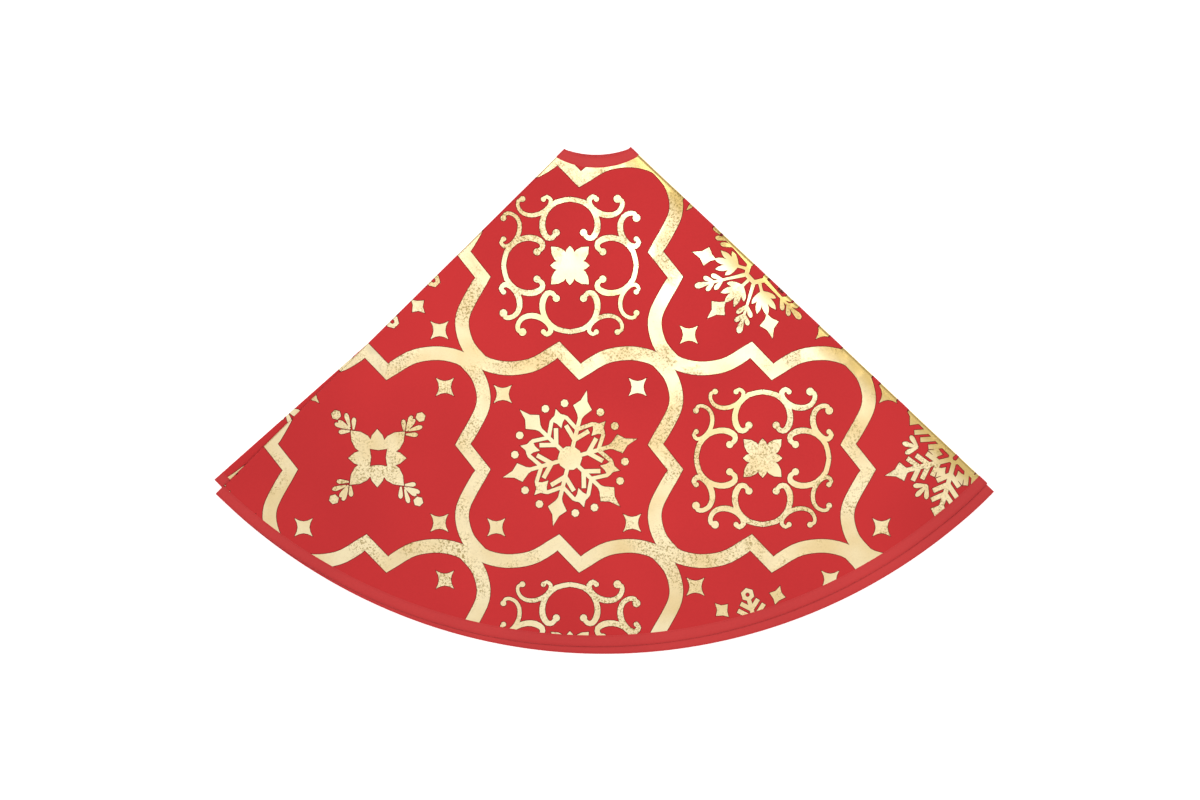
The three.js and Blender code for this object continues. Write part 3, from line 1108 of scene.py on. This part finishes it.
@dataclass
class Binding:
    """The tapes folded over the hem and the neck of every layer."""

    plan: SkirtPlan
    wardrobe: Wardrobe
    hem_steps: int = 220
    neck_steps: int = 24
    turn_steps: int = 12

    def section(self, base: float) -> Points:
        """The folded tape's section, counter-clockwise: distances in from the edge and heights."""
        size = self.plan.size
        w, t, h = size.tape_width, size.tape, size.layer_height
        outer = [(w, 0), (9, -0.02), (4, -0.03), (0.5, 0.04), (0.12, 0.3), (0, h / 2), (0.12, h - 0.3),
                 (0.5, h - 0.04), (4, h + 0.05), (9, h + 0.02), (w, h)]
        inner = [(w, h - t), (9, h - t), (4, h - t), (0.75, h - t - 0.04), (t + 0.05, h / 2),
                 (0.75, t + 0.04), (4, t), (9, t), (w, t)]
        return np.array(outer + inner) + (0, base)

    def band(self, layer: Layer, edge: str) -> Soft:
        """One tape along a layer's hem or neck."""
        size = self.plan.size
        hem = edge == "hem"
        steps = self.hem_steps if hem else self.neck_steps
        centre = layer.hem_centre if hem else layer.neck_centre
        radius = size.hem_arc if hem else layer.neck_arc
        inwards = -1 if hem else 1
        slit = size.seat if layer.number > 2 else 0.0
        left, right = layer.left.inset(slit, 1), layer.right.inset(FOLD_GAP, -1)
        section = self.section(layer.base)
        columns = [arc_between(centre, left, right, radius + inwards * s, steps) for s, _ in section]
        along = np.linspace(0, 1, steps + 1)
        rings = np.zeros((steps + 1, len(section), 3))
        length = np.linalg.norm(columns[0][-1] - columns[0][0])
        for i, ((s, z), column) in enumerate(zip(section, columns)):
            loose = min(1.0, s / 5) * (0.07 if z > layer.base + size.layer_height / 2 else 0.02)
            beat = along * length / 9.0
            ripple = np.sin(beat * 2.1 + layer.number) + 0.6 * np.sin(beat * 3.7 + 1.3 * layer.number)
            calm = smoothstep(along, 0, 0.03) * (1 - smoothstep(along, 0.97, 1))
            rings[:, i] = layer.place(column, z + ripple * loose * calm)
        return sweep(rings)

    def turn(self, fold: "Fold", edge: str) -> Soft:
        """The tape where it goes round a fold."""
        section = self.section(fold.base) - (0, fold.height)
        start, sign = (fold.hem, -1) if edge == "hem" else (self.plan.size.neck_radius, 1)
        section = np.column_stack([start + sign * section[:, 0], section[:, 1]])
        return fold.half_turn(section, self.turn_steps)

    def build(self, folds: list["Fold"]) -> None:
        """Makes every tape and every turn of a tape."""
        for edge in ("hem", "neck"):
            for layer in self.plan.layers:
                piece = self.band(layer, edge).object(f"{edge}_tape_{layer.number}", [self.wardrobe.tape], 50)
                settle(piece, layer.body, [f"{edge}_binding_layer_{layer.number}"])
            for fold in folds:
                piece = self.turn(fold, edge).object(f"{fold.name}_{edge}_tape", [self.wardrobe.tape], 50)
                ply = (fold.base, fold.base + self.plan.size.layer_height)
                fold.attach(piece, "tape", f"{fold.name}_{edge}_turn", ply)


@dataclass
class Fold:
    """Cloth that turns from one layer to the next round a fold line."""

    name: str
    line: Line
    side: int
    height: float
    layer: Layer
    hem: float
    crosses: bool

    @property
    def base(self) -> float:
        """The lowest height of the layer above the fold."""
        return self.layer.base

    def half_turn(self, section: Points, steps: int) -> Soft:
        """A section of distances along the fold and radii, swept through half a turn.

        Args:
            section: Closed ring of (distance along the fold, radius).
            steps: Steps of the half turn.

        Returns:
            The closed strip.
        """
        outwards = self.line.across * self.side
        rings = np.zeros((steps + 1, len(section), 3))
        for step, angle in enumerate(np.linspace(math.pi / 2, -math.pi / 2, steps + 1)):
            for i, (distance, radius) in enumerate(section):
                spot = self.line.at(distance) + outwards * radius * math.cos(angle)
                rings[step, i] = (*spot, self.height + radius * math.sin(angle))
        return sweep(rings * MM)

    def strip(self, ply: Heights, stops: Points, finishes: list[int], steps: int) -> Soft:
        """A ply that goes round the fold, with a finish for each stretch along it.

        Args:
            ply: Its lowest and highest height in the layer above the fold.
            stops: Distances along the fold where the finish changes.
            finishes: The finish of each stretch.
            steps: Steps of the half turn.

        Returns:
            The closed strip.
        """
        low, high = ply[0] - self.height, ply[1] - self.height
        outer = np.column_stack([stops, np.full(len(stops), high)])
        inner = np.column_stack([stops[::-1], np.full(len(stops), low)])
        soft = self.half_turn(np.vstack([outer, inner]), steps)
        plain = [0] * len(finishes)
        printed = [*finishes, 0, *plain, 0] if self.layer.face_up else [*plain, 0, *finishes[::-1], 0]
        soft.finishes = printed * steps + [0, 0]
        return soft

    def attach(self, piece: bpy.types.Object, slot: str, node: str, ply: Heights) -> None:
        """Sets the piece on the upper half, or bakes its place into its mesh when the fold crosses between
        the two halves.

        Args:
            piece: The strip round the fold.
            slot: Not used.
            node: The part it stands for.
            ply: Not used.
        """
        if self.crosses:
            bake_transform(piece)
        else:
            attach(piece, Body.UPPER.value)
        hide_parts(node)
        log.info("%s: %d faces round a fold", piece.name, len(piece.data.polygons))


@dataclass
class FoldedEdges:
    """The face cloth and the lining round every fold."""

    plan: SkirtPlan
    wardrobe: Wardrobe
    steps: int = 14

    def folds(self) -> list[Fold]:
        """The three folds."""
        plan, size = self.plan, self.plan.size
        top, second = plan.layers[0], plan.layers[1]
        inner_hem = size.hem_radius + size.hem_slip
        left_height = plan.fold_height + size.pitch
        return [Fold("outer_right_fold", plan.right_fold, 1, plan.fold_height, top, size.hem_radius, True),
                Fold("inner_right_fold", plan.right_fold, 1, plan.fold_height, second, inner_hem, True),
                Fold("left_fold", plan.left_fold, -1, left_height, top, size.hem_radius, False)]

    def stretches(self, fold: Fold, mesh: Flat, longest: float = 14.0) -> tuple[Points, list[int]]:
        """Where the print meets a fold: the distances along it and the finish of each stretch."""
        place, triangles, finish = mesh
        across = self.plan.from_fold(place, fold.line, -fold.side)
        rows = []
        for a, b, owner in border_loop(triangles):
            if abs(across[a]) < 2 * FOLD_GAP and abs(across[b]) < 2 * FOLD_GAP:
                low, high = sorted(float((place[i] - fold.line.start) @ fold.line.direction) for i in (a, b))
                rows.append((low, high, int(finish[owner])))
        rows.sort()
        merged: list[list[float]] = []
        for low, high, kind in rows:
            if merged and merged[-1][2] == kind and high - merged[-1][0] < longest:
                merged[-1][1] = high
            else:
                merged.append([low, high, kind])
        stops = np.array([merged[0][0], *(row[1] for row in merged)])
        return stops, [int(row[2]) for row in merged]

    def build(self, meshes: dict[int, Flat], plain_stops: int = 40) -> list[Fold]:
        """Makes the strips round the folds.

        Args:
            meshes: The printed mesh of each layer.
            plain_stops: Stops along each lining strip.

        Returns:
            The folds.
        """
        size, folds = self.plan.size, self.folds()
        start = size.tape + size.ply_gap
        for fold in folds:
            stops, finishes = self.stretches(fold, meshes[fold.layer.number])
            face = fold.layer.heights(start + size.lining + size.ply_gap, size.face)
            strip = fold.strip(face, stops, finishes, self.steps)
            piece = strip.object(f"{fold.name}_cloth", self.wardrobe.printed(), 60)
            # Painted shade on the foil round the fold, strongest on the right folds.
            mark_fold_shade(piece, np.full(len(piece.data.vertices), 0.9 if fold.crosses else 0.3))
            fold.attach(piece, "face", f"{fold.name}_face", face)
            plain = np.linspace(stops[0], stops[-1], plain_stops)
            lining = fold.layer.heights(start, size.lining)
            strip = fold.strip(lining, plain, [0] * (plain_stops - 1), self.steps)
            piece = strip.object(f"{fold.name}_back", [self.wardrobe.lining], 60)
            fold.attach(piece, "lining", f"{fold.name}_lining", lining)
        return folds


@dataclass
class SlitTrim:
    """The turned edges along the slit, the hook and loop pads and the blank label."""

    plan: SkirtPlan
    wardrobe: Wardrobe
    pad_length: float = 40.0
    pad_width: float = 20.0
    pad_thickness: float = 0.25
    pad_count: int = 3
    label_length: float = 45.0
    label_width: float = 25.0
    label_thickness: float = 0.15

    def plate(self, layer: Layer, near: float, far: float, start: float, end: float, ply: Heights,
              rounding: float = 0.0, spacing: float = 12.0) -> Soft:
        """A thin rounded rectangle along a layer's slit edge."""
        ring = []
        for x, y, first in ((near + rounding, start + rounding, 180), (far - rounding, start + rounding, 270),
                            (far - rounding, end - rounding, 0), (near + rounding, end - rounding, 90)):
            for step in range(5 if rounding else 1):
                a = math.radians(first + step * 22.5)
                ring.append((x + rounding * math.cos(a), y + rounding * math.sin(a)))
        dense = []
        for p, q in zip(np.array(ring), np.roll(ring, -1, axis=0)):
            count = max(1, int(np.linalg.norm(q - p) / spacing))
            dense += [p + (q - p) * i / count for i in range(count)]
        line = layer.left
        plan = np.array([line.start + line.direction * y + line.across * x for x, y in dense])
        if polygon_signed(plan) < 0:
            plan = plan[::-1]
        return cloth_sheet(layer, flat_mesh(plan, 8.0), ply)

    def build(self) -> None:
        """Makes every trim."""
        size = self.plan.size
        start = size.neck_radius + size.tape_width + size.slit_hem
        end = size.hem_radius - size.tape_width - size.slit_shortfall - 2 * size.seat - size.slit_hem
        near = size.slit_hem + 2 * size.seat
        third, last = self.plan.layers[2], self.plan.layers[3]
        for layer in (third, last):
            soft = self.plate(layer, 2 * size.seat, size.slit_hem, start, end, layer.heights(0, size.tape))
            piece = soft.object(f"slit_edge_{layer.number}", [self.wardrobe.cloth])
            settle(piece, layer.body, [f"slit_hem_layer_{layer.number}"])
        for pair in range(1, self.pad_count + 1):
            middle = start + (end - start) * (pair - 0.5) / self.pad_count
            for layer, kind, low in ((third, "hook", size.tape - self.pad_thickness),
                                     (last, "loop", size.layer_height - size.tape)):
                ply = layer.heights(low, self.pad_thickness)
                soft = self.plate(layer, near, near + self.pad_width, middle - self.pad_length / 2,
                                  middle + self.pad_length / 2, ply, 2.5)
                piece = soft.object(f"{kind}_patch_{pair}", [self.wardrobe.pad])
                settle(piece, layer.body, [f"{kind}_pad_{pair}"])
        label_end = end - size.seat
        soft = self.plate(last, near, near + self.label_width, label_end - self.label_length, label_end,
                          last.heights(size.tape - self.label_thickness, self.label_thickness))
        settle(soft.object("blank_label", [self.wardrobe.label]), last.body, ["care_label"])


@dataclass
class StitchRows:
    """Rows of stitches along the tapes and the slit edges, laid by a node tree along their lines."""

    plan: SkirtPlan
    wardrobe: Wardrobe
    pitch: float = 3.4
    length: float = 2.7
    thread: float = 0.42
    tape_margin: float = 1.4
    fold_margin: float = 2.8
    slit_margins: tuple[float, float] = (0.6, 2.0)
    slit_row_inset: float = 1.5
    slit_row_ends: tuple[float, float] = (16.0, 26.0)

    def tree(self) -> bpy.types.NodeTree:
        """Stitches at even steps along curves."""
        tree = bpy.data.node_groups.new("stitch row", "GeometryNodeTree")
        tree.interface.new_socket(name="Geometry", in_out="INPUT", socket_type="NodeSocketGeometry")
        for label, value in (("Pitch", self.pitch * MM), ("Stitch Length", self.length * MM),
                             ("Thread", self.thread * MM)):
            socket = tree.interface.new_socket(name=label, in_out="INPUT", socket_type="NodeSocketFloat")
            socket.default_value = value
        tree.interface.new_socket(name="Geometry", in_out="OUTPUT", socket_type="NodeSocketGeometry")
        n = Nodes(tree)
        start = n.add("NodeGroupInput").outputs
        even = n.add("GeometryNodeResampleCurve", {"Curve": start["Geometry"], "Length": start["Pitch"]},
                     mode="LENGTH")
        ball = n.add("GeometryNodeMeshUVSphere", {"Segments": 6, "Rings": 5, "Radius": 0.5})
        size = n.add("ShaderNodeCombineXYZ",
                     {"X": start["Stitch Length"], "Y": start["Thread"], "Z": start["Thread"]})
        along = n.add("GeometryNodeInputTangent")
        turn = n.add("FunctionNodeAlignRotationToVector", {"Vector": along.outputs[0]}, axis="X")
        place = n.add("GeometryNodeInstanceOnPoints",
                      {"Points": even.outputs[0], "Instance": ball.outputs["Mesh"],
                       "Rotation": turn.outputs[0], "Scale": size.outputs[0]})
        real = n.add("GeometryNodeRealizeInstances", {0: place.outputs[0]})
        dress = n.add("GeometryNodeSetMaterial", {0: real.outputs[0], "Material": self.wardrobe.thread})
        n.add("NodeGroupOutput", {0: dress.outputs[0]})
        return tree

    def rows(self, body: Body) -> list[Points]:
        """The lines that the stitches of one half follow."""
        size, found = self.plan.size, []
        sunk = self.thread * 0.22
        for layer in self.plan.layers:
            if layer.body is not body:
                continue
            slit = self.slit_margins[layer.number > 2]
            left, right = layer.left.inset(slit, 1), layer.right.inset(self.fold_margin, -1)
            inset = size.tape_width - self.tape_margin
            for side in (0, 1):
                z = layer.base + (size.layer_height + sunk if side else -sunk)
                if not side and layer.number == 4:
                    z = layer.base + sunk
                for centre, radius, steps in ((layer.hem_centre, size.hem_arc - inset, 300),
                                              (layer.neck_centre, layer.neck_arc + inset, 24)):
                    found.append(layer.place(arc_between(centre, left, right, radius, steps), z))
            if layer.number > 2:
                line = layer.left.inset(size.slit_hem - self.slit_row_inset, 1)
                near, far = self.slit_row_ends
                stops = np.arange(size.neck_radius + near, size.hem_radius - far, 6.0)
                plan = np.array([line.at(d) for d in stops])
                z = layer.heights(size.layer_height - size.tape - size.ply_gap, 0)[0]
                found.append(layer.place(plan, z + (0.05 if layer.face_up else -0.05)))
        return found

    def build(self) -> None:
        """Makes one mesh of stitches for each half."""
        tree = self.tree()
        for body, name in ((Body.UPPER, "stitches_upper"), (Body.LOWER, "stitches_lower")):
            curve = bpy.data.curves.new(name + "_lines", "CURVE")
            curve.dimensions = "3D"
            for row in self.rows(body):
                spline = curve.splines.new("POLY")
                spline.points.add(len(row) - 1)
                spline.points.foreach_set("co", np.column_stack([row, np.ones(len(row))]).ravel())
            lines = linked(name + "_lines", curve)
            maker = lines.modifiers.new("stitches", "NODES")
            maker.node_group = tree
            ready = lines.evaluated_get(bpy.context.evaluated_depsgraph_get())
            mesh = bpy.data.meshes.new_from_object(ready)
            mesh.name = name
            lines.modifiers.clear()
            bpy.data.objects.remove(lines)
            mesh.shade_smooth()
            piece = linked(name, mesh)
            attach(piece, body.value)
            log.info("%s: %d faces", name, len(mesh.polygons))


@dataclass
class Studio:
    """The floor, the soft lights and the camera straight above the skirt."""

    lens: float = 85.0
    sensor: float = 36.0
    floor_reach: float = 6.0
    floor_level: float = -0.0006

    def build(self) -> None:
        """Makes the studio."""
        self.floor()
        self.lights()
        self.camera()

    def floor(self) -> None:
        """A wide pale floor."""
        mesh = bpy.data.meshes.new("studio_floor")
        r, z = self.floor_reach, self.floor_level
        mesh.from_pydata([(-r, -r, z), (r, -r, z), (r, r, z), (-r, r, z)], [], [(0, 1, 2, 3)])
        material, n, shader = shader_of("white floor")
        n.feed(shader, {"Base Color": (0.96, 0.96, 0.96, 1), "Roughness": 0.9, "Specular IOR Level": 0.0,
                        "Emission Color": (1, 1, 1, 1), "Emission Strength": 0.55})
        mesh.materials.append(material)
        floor = linked("studio_floor", mesh)

    def lights(self) -> None:
        """A bright ceiling that darkens towards the horizon, and one broad soft light."""
        scene = bpy.context.scene
        world = bpy.data.worlds.new("soft studio")
        scene.world = world
        world.use_nodes = True
        n = Nodes(world.node_tree)
        place = n.add("ShaderNodeTexCoord")
        parts = n.add("ShaderNodeSeparateXYZ", {0: place.outputs["Generated"]})
        share = n.ramp(parts.outputs["Z"], 0.15, 0.95)
        tone = n.mix(share, (0.20, 0.195, 0.19, 1), (1.0, 0.99, 0.975, 1))
        n.feed(world.node_tree.nodes["Background"], {"Color": tone, "Strength": 0.95})
        softbox = self.lamp("overhead_softbox", "RECTANGLE", 0.5, 2.5, (0.16, 0.30, 1.35))
        softbox.data.size_y = 0.4
        softbox.rotation_euler = (-Vector(softbox.location)).to_track_quat("-Z", "Y").to_euler()
        glow = self.lamp("overhead_glow", "DISK", 0.6, 4.2, (-0.02, 0.06, 1.0))
        glow.visible_glossy = False
        scene.view_settings.view_transform = "Standard"
        scene.view_settings.look = "None"

    def lamp(self, name: str, shape: str, width: float, watts: float, place: Tone) -> bpy.types.Object:
        """An area lamp that the camera doesn't see."""
        light = bpy.data.lights.new(name, "AREA")
        light.shape, light.size, light.energy = shape, width, watts
        lamp = linked(name, light)
        lamp.location = place
        lamp.visible_camera = False
        return lamp

    def camera(self) -> None:
        """The camera, straight above and turned with the print."""
        lens = bpy.data.cameras.new("camera")
        lens.lens, lens.sensor_width, lens.clip_end = self.lens, self.sensor, 50.0
        height = PRINT_WIDTH * PRINT_UNIT * MM * self.lens / self.sensor
        camera = linked("camera", lens)
        camera.location = (PRINT_ORIGIN[0] * MM, PRINT_ORIGIN[1] * MM, height)
        camera.rotation_euler = (0, 0, -PRINT_TURN)
        bpy.context.scene.camera = camera


def grown(outline: Points, amount: float) -> Points:
    """An outline moved outwards by an amount, with its corners kept near."""
    if polygon_signed(outline) < 0:
        outline = outline[::-1]
    before = outline - np.roll(outline, 1, axis=0)
    after = np.roll(outline, -1, axis=0) - outline
    before /= np.linalg.norm(before, axis=1, keepdims=True) + 1e-9
    after /= np.linalg.norm(after, axis=1, keepdims=True) + 1e-9
    along = before + after
    along /= np.linalg.norm(along, axis=1, keepdims=True) + 1e-9
    scale = 1 / np.maximum((along * after).sum(1), 0.5)
    return outline + np.column_stack([along[:, 1], -along[:, 0]]) * (amount * scale)[:, None]


def main() -> None:
    """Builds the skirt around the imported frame."""
    logging.basicConfig(level=logging.INFO, format="%(name)s: %(message)s")
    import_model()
    Studio().build()
    plan, wardrobe = SkirtPlan(SkirtSizes()), Wardrobe()
    fills, holes = print_outlines()
    ink = [grown(outline, PRINT_EDGE) for outline in fills]
    clear = [grown(outline, -PRINT_EDGE) for outline in holes]
    meshes = QuarterCloth(plan, wardrobe).build(fills, holes, ink, clear)
    folds = FoldedEdges(plan, wardrobe).build(meshes)
    Binding(plan, wardrobe).build(folds)
    SlitTrim(plan, wardrobe).build()
    StitchRows(plan, wardrobe).build()


if __name__ == "__main__":
    main()
